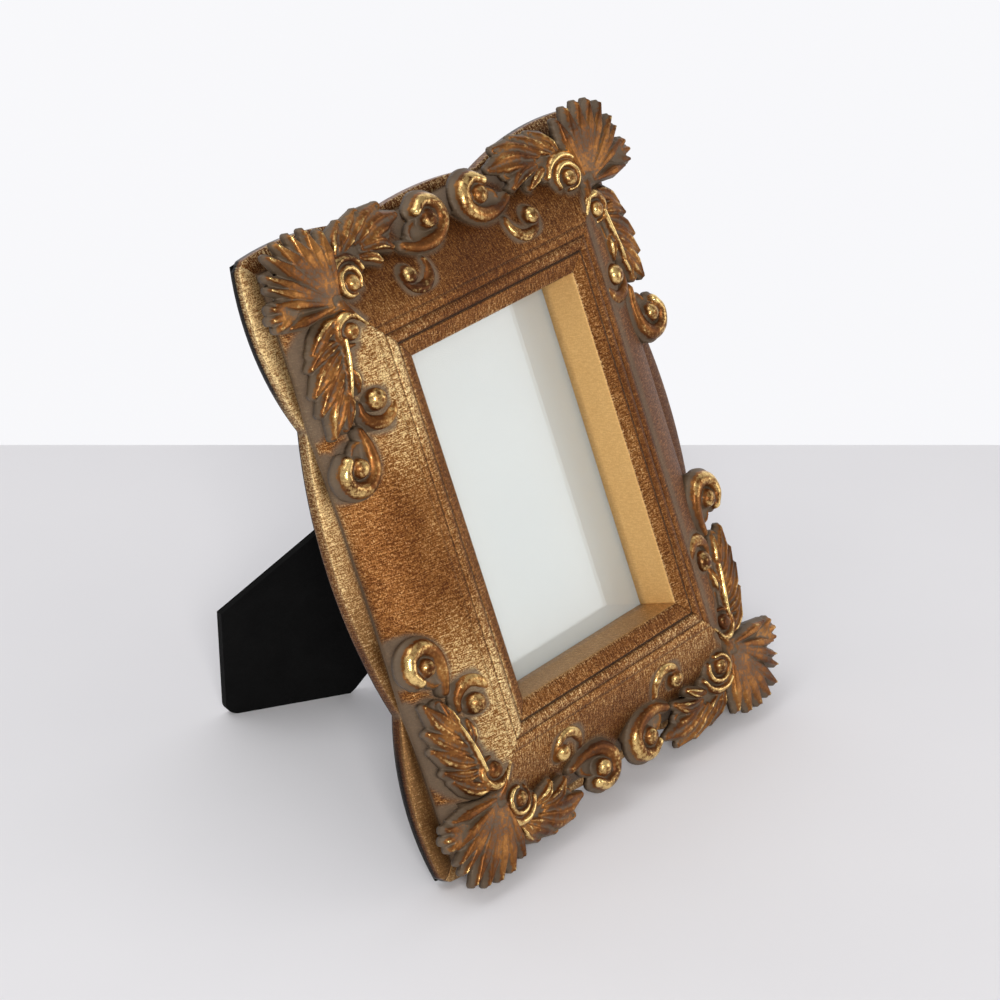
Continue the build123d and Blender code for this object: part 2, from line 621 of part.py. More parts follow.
def build():
    nodes = {}
    right, top = right_rail(), top_rail()
    behind = slab(DEEP, DEEP, BACK, LIP_AT)
    corner_fan = fan([right, top, behind])
    side_spray = spray(Skin(1.0, False), [right, top, corner_fan, behind])
    top_spray = spray(Skin(RAIL_RATIO, True), [top, right, corner_fan, behind])

    flip_x, flip_z = Plane.YZ, Plane.XY
    left, bottom = mirror(right, about=flip_x), mirror(top, about=flip_z)
    felt = back_felt()
    screws, buttons = [], {}
    for name, plane in button_planes().items():
        buttons["turn_button_" + name] = plane * turn_button()
        screws.append(plane * button_screw())
    hole = Cylinder(SCREW_R + SCREW_FIT, SCREW_L * 2)
    pilot = [plane * hole for plane in button_planes().values()]
    nodes["rail_left"], nodes["rail_right"] = left - pilot, right - pilot
    nodes["rail_top"], nodes["rail_bottom"] = top - pilot, bottom - pilot
    nodes["back_felt"] = felt - pilot

    pairs = {"left": [], "right": [], "top": [], "bottom": []}
    for up, mirror_z in (("top", False), ("bottom", True)):
        for side, mirror_x in (("right", False), ("left", True)):
            def placed(shape):
                shape = mirror(shape, about=flip_z) if mirror_z else shape
                return mirror(shape, about=flip_x) if mirror_x else shape

            nodes[f"corner_fan_{up}_{side}"] = placed(corner_fan)
            pairs[side].append(placed(side_spray))
            pairs[up].append(placed(top_spray))
    for rail, pair in pairs.items():
        nodes[f"sprays_{rail}"] = Compound(pair)

    nodes["glass_pane"] = slab(PACK_W, PACK_H, GLASS_AT, GLASS_T)
    nodes["photo_card"] = slab(PACK_W, PACK_H, GLASS_AT + GLASS_T, CARD_T)
    nodes["backing_board"] = slab(PACK_W, PACK_H, GLASS_AT + GLASS_T + CARD_T, BOARD_T)
    nodes["hinge_fixed_leaf"] = on_hinge(fixed_leaf(), 0)
    nodes["hinge_pin"] = on_hinge(hinge_pin(), 0)
    nodes["hinge_leg_leaf"] = on_hinge(moving_leaf(), LEG_OPEN)
    nodes["easel_leg"] = easel_leg()
    nodes.update(buttons)
    nodes["button_screws"] = Compound(screws)
    return nodes


def stand(nodes):
    """Leans the frame back on its leg, with the origin under the middle of its box."""
    lean = Rot(-TILT, 0, 0)
    box = Compound([lean * shape for shape in nodes.values()]).bounding_box()
    shift = Pos(-(box.min.X + box.max.X) / 2, -(box.min.Y + box.max.Y) / 2, -box.min.Z)
    return shift * lean


def main():
    parts = build()
    standing = stand(parts)
    os.makedirs("parts", exist_ok=True)
    for node, shape in parts.items():
        export_step(standing * shape, f"parts/{node}.step")

    hinge = Plane(standing * HINGE_PLANE.location)
    print("leg hinge at", tuple(hinge.origin), "along", tuple(hinge.x_dir))
    for name, plane in button_planes().items():
        pivot = Plane(standing * plane.location)
        print("turn button", name, "at", tuple(pivot.origin), "about", tuple(pivot.z_dir))


if __name__ == "__main__":
    main()
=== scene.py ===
from math import atan2, cos, hypot, pi, radians, sin

import bmesh
import bpy
import numpy as np
from mathutils import Euler, Matrix, Vector


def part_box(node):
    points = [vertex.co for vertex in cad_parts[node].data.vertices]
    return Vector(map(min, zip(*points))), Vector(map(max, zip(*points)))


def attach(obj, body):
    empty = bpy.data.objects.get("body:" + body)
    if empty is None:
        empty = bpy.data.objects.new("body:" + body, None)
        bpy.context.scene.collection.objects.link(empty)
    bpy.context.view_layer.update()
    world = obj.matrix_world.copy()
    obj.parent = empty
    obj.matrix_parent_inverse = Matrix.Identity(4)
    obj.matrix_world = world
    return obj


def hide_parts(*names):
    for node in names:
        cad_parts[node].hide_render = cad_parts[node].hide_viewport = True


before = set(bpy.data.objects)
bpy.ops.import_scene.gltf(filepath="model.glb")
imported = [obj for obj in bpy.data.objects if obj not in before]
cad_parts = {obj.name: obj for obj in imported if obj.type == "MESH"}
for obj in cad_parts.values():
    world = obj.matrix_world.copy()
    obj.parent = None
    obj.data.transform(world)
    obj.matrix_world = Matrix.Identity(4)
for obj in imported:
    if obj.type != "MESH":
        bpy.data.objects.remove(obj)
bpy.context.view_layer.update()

# Sizes of the frame in millimetres, drawn upright: x right, y back from the
# ridge round the picture, z up, origin in the middle of the picture.
RIDGE_X, RIDGE_Z = 51.0, 74.232
RATIO = 1.13               # top and bottom rails against side rails
LEAN = radians(23.2)
GLASS_FRONT, GLASS_MIDDLE = 20.5, 21.5
WALL_IN = 6.4              # wall round the picture, inside the ridge
FACE_START, FACE_END, FACE_BULGE = (8.2, 1.2), (34.6, 19.6), 2.9
RIM_START, RIM_FULL, RIM_RISE = 35.1, 7.0, 1.5
LIP, BACK = 22.0, 27.0     # edge of the rim and back of the rails
NOTCH_IN, CORNER_OUT, CORNER_NIP = 19.0, 40.5, 1.6
REBATE_SIDE, REBATE_TOP = 0.5, 2.39
PANE, PANE_MIDDLE, PANE_BEVEL = (102.4, 1.75, 153.2), 21.425, 0.3
HINGE_AT, HINGE_SLANT, LEG_OPEN = (29.0, 30.0, 22.0), radians(45), radians(45)
SCREWS_AT = ((-58.0, 36.0), (58.0, -36.0), (0.0, 83.4), (34.0, -83.4))
SCREW_SEAT, SLOT_HALF = 29.1, 0.35

low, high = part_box("glass_pane")
lean = Matrix.Rotation(-LEAN, 4, "X")
glass_at = (Vector(low) + Vector(high)) / 2
STANDING = Matrix.Translation(glass_at - lean @ Vector((0, GLASS_MIDDLE / 1000, 0))) @ lean
TO_SCENE = STANDING @ Matrix.Scale(0.001, 4)


# Shader maths

class Value:
    """A socket that takes part in plain sums."""

    def __init__(self, finish, socket):
        self.finish, self.socket = finish, socket

    def sum(self, operation, first, second):
        return self.finish.node("ShaderNodeMath", {"operation": operation}, {0: first, 1: second})

    def __add__(self, other):
        return self.sum("ADD", self, other)

    def __radd__(self, other):
        return self.sum("ADD", other, self)

    def __sub__(self, other):
        return self.sum("SUBTRACT", self, other)

    def __rsub__(self, other):
        return self.sum("SUBTRACT", other, self)

    def __mul__(self, other):
        return self.sum("MULTIPLY", self, other)

    def __rmul__(self, other):
        return self.sum("MULTIPLY", other, self)


class Finish:
    """A material with one main shader."""

    def __init__(self, name):
        self.material = bpy.data.materials.new(name)
        self.material.use_nodes = True
        self.tree = self.material.node_tree
        self.tree.nodes.clear()

    def node(self, kind, settings=None, sockets=None, out=0):
        made = self.tree.nodes.new(kind)
        for key, setting in (settings or {}).items():
            if key == "stops":
                ramp = made.color_ramp
                while len(ramp.elements) < len(setting):
                    ramp.elements.new(1.0)
                for element, (at, colour) in zip(ramp.elements, setting):
                    element.position, element.color = at, colour
            else:
                setattr(made, key, setting)
        for key, given in (sockets or {}).items():
            if isinstance(given, Value):
                self.tree.links.new(given.socket, made.inputs[key])
            else:
                made.inputs[key].default_value = given
        return Value(self, made.outputs[out]) if made.outputs else made

    def object_place(self):
        return self.node("ShaderNodeTexCoord", out="Object")

    def stretched(self, vector, scale, shift=(0, 0, 0)):
        return self.node("ShaderNodeMapping", None, {"Vector": vector, "Scale": scale, "Location": shift})

    def noise(self, vector, scale, detail=4.0, rough=0.55, distort=0.0):
        return self.node("ShaderNodeTexNoise", None, {
            "Vector": vector, "Scale": scale, "Detail": detail, "Roughness": rough, "Distortion": distort})

    def own(self, name, out="Fac"):
        """A shade or a place that the mesh carries itself."""
        return self.node("ShaderNodeAttribute", {"attribute_name": name}, out=out)

    def ramp(self, factor, stops):
        return self.node("ShaderNodeValToRGB", {"stops": stops}, {"Fac": factor})

    def between(self, factor, low_at, high_at):
        """0 below one value, 1 above the other, smooth between."""
        return self.node("ShaderNodeMapRange", {"interpolation_type": "SMOOTHSTEP"}, {
            "Value": factor, "From Min": low_at, "From Max": high_at})

    def mixed(self, factor, first, second):
        return self.node("ShaderNodeMix", {"data_type": "RGBA"}, {0: factor, 6: first, 7: second}, out=2)

    def bump(self, height, strength, distance):
        return self.node("ShaderNodeBump", None, {
            "Height": height, "Strength": strength, "Distance": distance})

    def shade(self, **sockets):
        names = {key.replace("_", " "): given for key, given in sockets.items()}
        shader = self.node("ShaderNodeBsdfPrincipled", None, names)
        self.node("ShaderNodeOutputMaterial", None, {"Surface": shader})
        return self.material


def rgb(*parts):
    """A colour as seen, 0 to 255, for a colour socket."""
    return (*[(p / 255 / 12.92) if p <= 10 else ((p / 255 + 0.055) / 1.055) ** 2.4 for p in parts], 1.0)


def gilt_rail():
    """Worn metal leaf over red ground, with grey wax in the hollows, painted sheen and near-black painted
    shade.
    """
    finish = Finish("gilt_rail")
    grain = finish.own("grain", "Vector")
    patina, rub, soot = finish.own("patina"), finish.own("rub"), finish.own("soot")
    gilded, matte, dull = finish.own("gilded"), finish.own("matte"), finish.own("dull")
    fine = finish.noise(finish.stretched(grain, (2.0, 1.1, 1.0)), 1.0, 5.0, 0.7, 0.6)
    cross = finish.noise(finish.stretched(grain, (0.35, 2.4, 1.0), (7.0, 3.0, 0.0)), 1.0, 4.0, 0.7, 0.6)
    clouds = finish.noise(finish.stretched(grain, (0.07, 0.035, 1.0)), 1.0, 3.0, 0.5, 0.6)
    leaf = finish.between(fine * 0.5 + cross * 0.5, 0.43, 0.60)
    # painted sheen: above 0 the leaf is painted paler and sparks more, a painted highlight; below 0 it is
    # painted deeper copper, a painted dark reflection
    tone = leaf * (gilded * 0.26 + 0.46) + (clouds - 0.5) * 0.3 + gilded * 0.16 + 0.16
    copper = finish.ramp(tone, [
        (0.16, rgb(84, 46, 20)), (0.42, rgb(140, 88, 42)),
        (0.66, rgb(180, 126, 66)), (0.92, rgb(236, 200, 132))])
    bright = finish.between(leaf * 0.6 + rub * 0.5 + gilded * 0.35 + (clouds - 0.5) * 0.3, 0.52, 1.02)
    gold = finish.mixed(bright * 0.85, copper, rgb(248, 224, 168))
    spark = finish.between(fine, 0.60, 0.70) * (gilded * 0.6 + 0.55)
    gold = finish.mixed(spark * 0.7, gold, rgb(252, 228, 164))
    plain = finish.mixed(leaf, rgb(232, 182, 110), rgb(246, 202, 130))
    gold = finish.mixed(matte * 0.9, gold, plain)
    dirt = finish.between(patina + (fine - 0.5) * 0.5, 0.25, 0.9)
    grey = finish.mixed(clouds, rgb(92, 76, 58), rgb(128, 108, 86))
    colour = finish.mixed(dirt * 0.9, gold, grey)
    # painted shade: near-black where the rail is marked as lying in shade, in the deep quirks and on the back
    # of the outer wall
    return finish.shade(
        Base_Color=finish.mixed(soot, colour, rgb(20, 15, 13)),
        Metallic=(0.9 - dirt * 0.6 - matte * 0.7) * (1.0 - dull * 0.8),
        Roughness=0.4 + dirt * 0.25 + matte * 0.15 - leaf * 0.12 + dull * 0.25,
        Normal=finish.bump(fine * 0.6 + cross * 0.4, 0.6, 0.0005))


def gilt_carving():
    """The same leaf on the carving: wax in the hollows, copper on the slopes, gold where it is rubbed."""
    finish = Finish("gilt_carving")
    spot = finish.object_place()
    rub = finish.own("rub")
    flecks = finish.noise(spot, 700.0, 4.0, 0.7)
    clouds = finish.noise(spot, 80.0, 3.0, 0.5)
    uneven = rub + (flecks - 0.5) * 0.8 + (clouds - 0.5) * 0.6
    worn, shine = finish.between(uneven, 0.14, 0.44), finish.between(uneven, 0.60, 0.90)
    wax = finish.mixed(clouds, rgb(70, 54, 40), rgb(124, 104, 80))
    copper = finish.ramp(clouds + (flecks - 0.5) * 0.5, [
        (0.30, rgb(84, 48, 24)), (0.50, rgb(126, 78, 38)), (0.70, rgb(172, 118, 62))])
    gold = finish.mixed(shine, copper, rgb(246, 210, 138))
    return finish.shade(
        Base_Color=finish.mixed(worn, wax, gold), Metallic=0.2 + worn * 0.7,
        Roughness=0.55 - worn * 0.15 - shine * 0.24, Normal=finish.bump(flecks, 0.35, 0.0003))


def velvet(name, dark, pale):
    finish = Finish(name)
    spot = finish.object_place()
    pile = finish.noise(spot, 1400.0, 4.0, 0.7)
    nap = finish.noise(spot, 45.0, 4.0, 0.6, 0.8)
    colour = finish.mixed(finish.between(pile * 0.45 + nap * 0.55, 0.35, 0.72), dark, pale)
    return finish.shade(
        Base_Color=colour, Roughness=0.92, Normal=finish.bump(pile, 0.6, 0.0004),
        Specular_IOR_Level=0.15, Sheen_Weight=0.03, Sheen_Roughness=0.35, Sheen_Tint=(0.35, 0.34, 0.36, 1.0))


def paper():
    finish = Finish("photo_paper")
    spot = finish.object_place()
    fibre = finish.noise(spot, 600.0, 5.0, 0.6)
    cloud = finish.noise(spot, 14.0, 2.0, 0.5)
    colour = finish.mixed(cloud * 0.6 + fibre * 0.25, rgb(192, 199, 200), rgb(212, 216, 214))
    return finish.shade(Base_Color=colour, Roughness=0.55, Normal=finish.bump(fibre, 0.15, 0.0001))


def glass():
    """Clear pane that lets the lamps through to the card."""
    finish = Finish("picture_glass")
    smear = finish.noise(finish.object_place(), 30.0, 5.0, 0.6, 1.2)
    pane = finish.node("ShaderNodeBsdfPrincipled", None, {
        "Base Color": (0.97, 0.99, 0.99, 1.0), "Roughness": 0.02 + finish.between(smear, 0.45, 0.8) * 0.05,
        "Transmission Weight": 1.0, "IOR": 1.45})
    clear = finish.node("ShaderNodeBsdfTransparent")
    lamp_ray = finish.node("ShaderNodeLightPath", out="Is Shadow Ray")
    bounced_ray = finish.node("ShaderNodeLightPath", out="Is Diffuse Ray")
    surface = finish.node("ShaderNodeMixShader", None, {0: lamp_ray + bounced_ray, 1: pane, 2: clear})
    finish.node("ShaderNodeOutputMaterial", None, {"Surface": surface})
    return finish.material


def metal(name, dark, pale, rough):
    finish = Finish(name)
    spot = finish.object_place()
    brush = finish.noise(finish.stretched(spot, (1500.0, 160.0, 1500.0)), 1.0, 4.0, 0.6)
    stain = finish.noise(spot, 160.0, 4.0, 0.6)
    colour = finish.mixed(stain * 0.6 + brush * 0.3, dark, pale)
    return finish.shade(
        Base_Color=colour, Metallic=0.95, Roughness=rough + (brush - 0.5) * 0.15,
        Normal=finish.bump(brush, 0.2, 0.0001))


GILT_RAIL, GILT_CARVING = gilt_rail(), gilt_carving()
VELVET = velvet("black_velvet", rgb(3, 3, 3), rgb(13, 13, 13))
FELT = velvet("black_felt", rgb(6, 6, 6), rgb(18, 17, 17))
PAPER, GLASS = paper(), glass()
BRASS = metal("dull_brass", rgb(120, 92, 48), rgb(196, 160, 96), 0.38)
STEEL = metal("zinc_plate", rgb(128, 128, 130), rgb(190, 190, 192), 0.34)


def settle(shape, name, body, finish, replaced=()):
    """Stands a drawn shape on the table as a piece of one body."""
    bmesh.ops.transform(shape, matrix=TO_SCENE, verts=shape.verts)
    mesh = bpy.data.meshes.new(name)
    shape.to_mesh(mesh)
    shape.free()
    mesh.shade_smooth()
    mesh.materials.append(finish)
    piece = bpy.data.objects.new(name, mesh)
    bpy.context.collection.objects.link(piece)
    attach(piece, body)
    if replaced:
        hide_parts(*replaced)
    return piece


# Outline and section of the rails

def circle_through(p, q, r):
    """Centre and radius of the circle through three places."""
    ax, az, bx, bz = q[0] - p[0], q[1] - p[1], r[0] - p[0], r[1] - p[1]
    cross = 2 * (ax * bz - az * bx)
    aa, bb = ax * ax + az * az, bx * bx + bz * bz
    ux, uz = (bz * aa - az * bb) / cross, (ax * bb - bx * aa) / cross
    return (p[0] + ux, p[1] + uz), hypot(ux, uz)


def bulged(p, q, bulge):
    """The middle of a line, pushed out to one side."""
    run_x, run_z = q[0] - p[0], q[1] - p[1]
    push = bulge / hypot(run_x, run_z)
    return (p[0] + q[0]) / 2 + run_z * push, (p[1] + q[1]) / 2 - run_x * push


class Scallops:
    """How far the outline stands outside the ridge, along one rail."""

    def __init__(self, half, notch, lobe, corner, bulge):
        self.notch_at = half - NOTCH_IN
        notch_point, end = (self.notch_at, notch), (half + corner[0], corner[1])
        self.middle = circle_through((-self.notch_at, notch), (0, lobe), notch_point)
        self.end = circle_through(notch_point, bulged(end, notch_point, bulge), end)

    def __call__(self, along):
        along = np.abs(along)
        arcs = []
        for centre, radius in (self.middle, self.end):
            arcs.append(centre[1] + np.sqrt(np.clip(radius ** 2 - (along - centre[0]) ** 2, 0, None)))
        return np.where(along < self.notch_at, arcs[0], arcs[1])


SIDE_LINE = Scallops(RIDGE_Z, 35.0, 43.0, (CORNER_OUT * RATIO, CORNER_OUT), 5.2)
TOP_LINE = Scallops(RIDGE_X, 40.8, 44.0, (CORNER_OUT, CORNER_OUT * RATIO), 3.6)
FACE_CROWN = bulged(FACE_START, FACE_END, FACE_BULGE)
FACE_CENTRE, FACE_R = circle_through(FACE_START, FACE_CROWN, FACE_END)


def face_depth(out):
    """How far back the face lies, out from the ridge."""
    reach = np.clip(out, 0, 46) - FACE_CENTRE[0]
    return FACE_CENTRE[1] - np.sqrt(np.clip(FACE_R ** 2 - reach ** 2, 1, None))


def hill(start, crown, end, steps):
    """Points of an arc over two feet."""
    (cx, cy), radius = circle_through(start, crown, end)
    first, last = atan2(start[1] - cy, start[0] - cx), atan2(end[1] - cy, end[0] - cx)
    turn = (last - first) / steps
    angles = [first + turn * i for i in range(steps + 1)]
    return [(cx + radius * cos(angle), cy + radius * sin(angle)) for angle in angles]


def rail_section():
    """Section up to the groove. Each row is a place out from the ridge and back from it,
    and how much it is rubbed and waxed there, and how dark its painted shade is."""
    rows = [(-WALL_IN, depth, 0.1, 0.05, 0) for depth in (GLASS_FRONT, 16.0, 10.0, 5.0, 3.0)]
    rows += [(x, y, 0.5, 0.0, 0) for x, y in ((-6.3, 2.45), (-6.0, 2.15))]
    rows += [(-6.0 + 4.9 * t, 2.15 - 1.55 * t, 0.15, 0.1, 0) for t in (0.2, 0.4, 0.6, 0.8, 1.0)]
    # Painted shade: the bottoms of the quirks are painted near-black (the last value of each row)
    rows += [(-0.75, 0.75, 0.0, 0.5, 0.3), (-0.45, 1.5, 0.0, 0.6, 0.8), (-0.15, 0.8, 0.0, 0.5, 0.3)]
    rows += [(x, y, 0.3, 0.0, 0) for x, y in hill((0, 0.5), (1.7, 0), (3.4, 0.5), 8)]
    rows += [(3.6, 0.8, 0.0, 0.4, 0.2), (3.8, 1.1, 0.0, 0.5, 0.55), (4.0, 0.85, 0.0, 0.4, 0.2)]
    rows += [(x, y, 0.16, 0.1, 0) for x, y in hill((4.2, 0.75), (5.4, 0.6), (6.6, 0.75), 6)]
    rows += [(7.0, 0.95, 0.0, 0.4, 0.1), (7.3, 1.15, 0.0, 0.4, 0.25), (7.7, 1.2, 0.0, 0.25, 0.1)]
    face = hill(FACE_START, FACE_CROWN, FACE_END, 44)
    rows += [(x, y, 0.12, 0.45 * max(0, (i - 38) / 6), 0) for i, (x, y) in enumerate(face)]
    rows += [(34.8, 20.5, 0.0, 0.9, 0), (34.95, 21.3, 0.0, 1.0, 0.2)]
    return rows


RAIL_STEPS, RIM_STEPS = 200, 12
GRAIN_APART = 400          # keeps the grain of the rails from being alike

# Outer wall and back: inset from the lip, depth, and how rubbed and waxed
OUTER_WALL = (
    (0.0, LIP + 0.5, 0.5, 0.0), (0.0, LIP + 1.5, 0.2, 0.1), (0.0, LIP + 3.0, 0.2, 0.1),
    (0.0, BACK - 0.6, 0.1, 0.3), (0.4, BACK, 0.0, 0.6), (12.0, BACK, 0.0, 0.6),
)

# How matt the wall round the picture and the rim are, and the painted sheen on the face in its middle and at
# its ends and on the rim at its upper or right end and the other one: over 0 painted highlight, under 0
# painted shade
MATT_AND_PAINTED_SHEEN = {
    "rail_left": ((1.0, 0.15), (0.0, 1.0), (0.8, -0.5)),
    "rail_right": ((1.0, 0.0), (-0.4, -0.2), (-0.7, -0.7)),
    "rail_top": ((0.4, 0.0), (-0.32, 0.0), (0.0, 0.0)),
    "rail_bottom": ((0.4, 0.2), (0.15, 0.4), (0.0, 0.0)),
}


def nip(share, on_top):
    """How far out a rail may reach where its corner is taken off."""
    run = hypot(1, RATIO)
    across, up, left_over = 1 / run, RATIO / run, CORNER_OUT * run - CORNER_NIP
    if on_top:
        return (left_over + across * RIDGE_X * (1 - np.abs(share))) / (RATIO * up + across * np.abs(share))
    return (left_over + up * RIDGE_Z * (1 - np.abs(share))) / (across + RATIO * up * np.abs(share))


def smooth(low_at, high_at, values):
    """0 below one value, 1 above the other, smooth between."""
    t = np.clip((values - low_at) / (high_at - low_at), 0, 1)
    return t * t * (3 - 2 * t)


def lip_line(share, on_top):
    """How far out the edge of the rim lies along a rail."""
    lip = np.full(share.shape, CORNER_OUT)
    for _ in range(60):
        if on_top:
            lip = 0.5 * lip + 0.5 * TOP_LINE(share * (RIDGE_X + lip)) / RATIO
        else:
            lip = 0.5 * lip + 0.5 * SIDE_LINE(share * (RIDGE_Z + RATIO * lip))
    return np.minimum(lip, nip(share, on_top))


def rail_form(share, on_top):
    """The whole section along a rail: the rows up to the groove, the rim, the outer wall and the rebate."""
    rows, lip = rail_section(), lip_line(share, on_top)
    out = np.zeros((len(rows) + RIM_STEPS + 1 + len(OUTER_WALL) + 2, len(share)))
    back, rub, dirt, soot = out.copy(), out.copy(), out.copy(), out.copy()
    for i, row in enumerate(rows):
        out[i], back[i], rub[i], dirt[i], soot[i] = row
    width = np.clip((lip - RIM_START) / RIM_FULL, 0, 1)
    inner = LIP - RIM_RISE * width
    for i in range(RIM_STEPS + 1):
        t, k = i / RIM_STEPS, len(rows) + i
        out[k] = RIM_START + t * (lip - RIM_START)
        back[k] = inner + (LIP - inner) * t ** 2 - 2.0 * width * t * (1 - t)
        rub[k], dirt[k] = 0.5 + 0.2 * t ** 6, 0.75 * (1 - t) ** 3
    wall = len(rows) + RIM_STEPS + 1
    for k, (inset, depth, rubbed, waxed) in enumerate(OUTER_WALL, wall):
        out[k], back[k], rub[k], dirt[k] = lip - inset, depth, rubbed, waxed
    # Painted shade: the back of the outer wall is painted near-black, most at the corner lobes
    soot[wall + 2:wall + 6] = 0.3 + 0.7 * smooth(0.5, 0.62, np.abs(share))
    out[-2:], dirt[-2:] = REBATE_TOP if on_top else REBATE_SIDE, 0.6
    back[-2], back[-1] = BACK, GLASS_FRONT
    return out, back, rub, dirt, soot


def build_rail(name, on_top, sign, number):
    """One mitred rail, drawn on the right or at the top and then set round the picture."""
    share = np.linspace(-1, 1, RAIL_STEPS + 1)
    out, back, rub, dirt, soot = rail_form(share, on_top)
    count, steps, rim = len(out), RAIL_STEPS, len(rail_section())
    half = RIDGE_X if on_top else RIDGE_Z
    if on_top:
        along = share * (RIDGE_X + out)
        x, z = along, RIDGE_Z + RATIO * out
    else:
        along = share * (RIDGE_Z + RATIO * out)
        x, z = RIDGE_X + out, along
    step_out, step_back = (np.diff(field, axis=0, prepend=field[:1]) for field in (out, back))
    across = np.cumsum(np.hypot(step_out, step_back), axis=0)

    (matt_wall, matt_rim), (middle, ends), (upper, lower) = MATT_AND_PAINTED_SHEEN[name]
    near = carved_height(np.abs(x) - RIDGE_X, np.abs(z) - RIDGE_Z)
    dirt = np.maximum(dirt, np.clip(1.0 + near / 6.0, 0, 1) * smooth(8, 12, out) * (1 - smooth(34, 37, out)))
    # Painted sheen: paler gold at the face's ends and the rim's upper end stands in for highlights, darker
    # copper for dark reflections
    gilded = middle + (ends - middle) * smooth(0.15, 0.75, np.abs(along) / half) * (1 - smooth(14, 30, out))
    gilded = gilded * smooth(-3, 0, out) * (1 - smooth(33, 36, out))
    gilded += (lower + (upper - lower) * smooth(-0.6, 0.6, share)) * smooth(33, 36, out)
    dull = np.zeros(out.shape)
    if name == "rail_right":
        dull = smooth(7, 10, out)
        dirt = np.maximum(dirt, 0.7 * smooth(6.8, 7.8, out) * (1 - smooth(9, 15, out)))
    matte = matt_wall * (out < 0.2 - WALL_IN) * (back < GLASS_FRONT + 0.1)
    matte[rim + 1:rim + RIM_STEPS + 2] = matt_rim

    shape = bmesh.new()
    bmesh.ops.create_grid(shape, x_segments=count, y_segments=steps, size=1.0)
    shape.verts.layers.float_vector.new("grain")
    shades = {"rub": rub, "patina": dirt, "gilded": gilded, "matte": matte, "soot": soot, "dull": dull}
    for key in shades:
        shape.verts.layers.float.new(key)
    for vert in shape.verts:
        i = round((vert.co.x + 1) / 2 * count) % count
        j = round((vert.co.y + 1) / 2 * steps)
        vert[shape.verts.layers.float_vector["grain"]] = (across[i, j], along[i, j] + GRAIN_APART * number, 0)
        for key, field in shades.items():
            vert[shape.verts.layers.float[key]] = field[i, j]
        vert.co = (x[i, j], back[i, j], z[i, j])
    bmesh.ops.remove_doubles(shape, verts=shape.verts, dist=0.0005)
    bmesh.ops.holes_fill(shape, edges=[e for e in shape.edges if e.is_boundary], sides=0)
    if sign < 0:
        bmesh.ops.scale(shape, vec=(1, 1, -1) if on_top else (-1, 1, 1), verts=shape.verts)
    bmesh.ops.recalc_face_normals(shape, faces=shape.faces)
    return settle(shape, "gilt_" + name, "frame", GILT_RAIL, [name])


# Carved relief: rounded strokes, balls and buttons over a level that leans back
# less than the face, so that leaves and fans stand free at their outer ends

FALL = 1.5                 # how steeply a stroke falls away beside it
EDGE = -1.5                # relief ends this far under the level
DECK_OUT, DECK_BACK = 17.0, 4.6
TAN_DECK = 0.158           # how steeply the level leans back
LEAF_T = 2.0               # where the leaves stand free
SEAT_T = 14                # more, deep enough to reach the rail
PITCH = 0.42               # of the grid that is carved


def smooth_path(points, steps=8):
    """A smooth line through places."""
    points = [np.array(p, float) for p in points]
    ends = [2 * points[0] - points[1]] + points + [2 * points[-1] - points[-2]]
    line = []
    for a, b, c, d in zip(ends, ends[1:], ends[2:], ends[3:]):
        for i in range(steps):
            t = i / steps
            bend, twist = 2 * a - 5 * b + 4 * c - d, 3 * b - a - 3 * c + d
            line.append(0.5 * (2 * b + (c - a) * t + bend * t ** 2 + twist * t ** 3))
    return line + [points[-1]]


def arc(centre, radii, first, last, steps=7):
    """Places round a centre, from one angle to another, with the radius drawn in or out."""
    line = []
    for i in range(steps):
        t = i / (steps - 1)
        angle = radians(first + (last - first) * t)
        reach = np.interp(t, np.linspace(0, 1, len(radii)), radii)
        line.append((centre[0] + reach * cos(angle), centre[1] + reach * sin(angle)))
    return line


class Carving:
    """Height of the relief at a set of places, and how far its crests are rubbed."""

    def __init__(self, across, along):
        self.x, self.y = across, along
        self.height = np.full(across.shape, -9.0)
        self.wear = np.ones(across.shape)

    def add(self, height, soft=0.35):
        apart = np.abs(self.height - height)
        self.height = np.maximum(self.height, height) + np.clip(soft - apart, 0, None) ** 2 / (4 * soft)

    def ball(self, centre, radius, lift, flat=9.0):
        reach = np.hypot(self.x - centre[0], self.y - centre[1])
        dome = lift + np.sqrt(np.clip(radius ** 2 - reach ** 2, 0, None))
        self.wear = np.where((reach < radius) & (dome > self.height), 0.84, self.wear)
        crown = np.minimum(dome, flat + 0.12 * dome)
        self.add(np.where(reach < radius, crown, lift + (radius - reach) * 3.0), 0.1)

    def stroke(self, points, widths, heights, groove=0.0, hollow=0.28):
        line = smooth_path(points)
        lengths = [0.0]
        for p, q in zip(line, line[1:]):
            lengths.append(lengths[-1] + float(np.hypot(*(q - p))))
        best = np.full(self.x.shape, 1e9)
        where = np.zeros(self.x.shape)
        for p, q, start, end in zip(line, line[1:], lengths, lengths[1:]):
            dx, dy = q - p
            size = dx * dx + dy * dy + 1e-9
            t = np.clip(((self.x - p[0]) * dx + (self.y - p[1]) * dy) / size, 0, 1)
            reach = np.hypot(self.x - p[0] - t * dx, self.y - p[1] - t * dy)
            nearer = reach < best
            best = np.where(nearer, reach, best)
            where = np.where(nearer, start + t * (end - start), where)
        share = where / lengths[-1]
        width = np.interp(share, np.linspace(0, 1, len(widths)), widths)
        height = np.interp(share, np.linspace(0, 1, len(heights)), heights)
        inside = np.sqrt(np.clip(1 - (best / width) ** 2, 0, None))
        cut = groove * np.clip(height / 2.5, 0, 1) * np.exp(-(best / (hollow * width)) ** 2)
        self.add(np.where(best < width, height * inside - cut, (width - best) * FALL))


VOLUTE_WIDTHS = (1.2, 2.1, 2.8, 3.2, 3.2, 2.9, 2.3)
VOLUTE_HEIGHTS = (0.8, 1.5, 2.3, 3.0, 3.6, 3.9, 3.7)


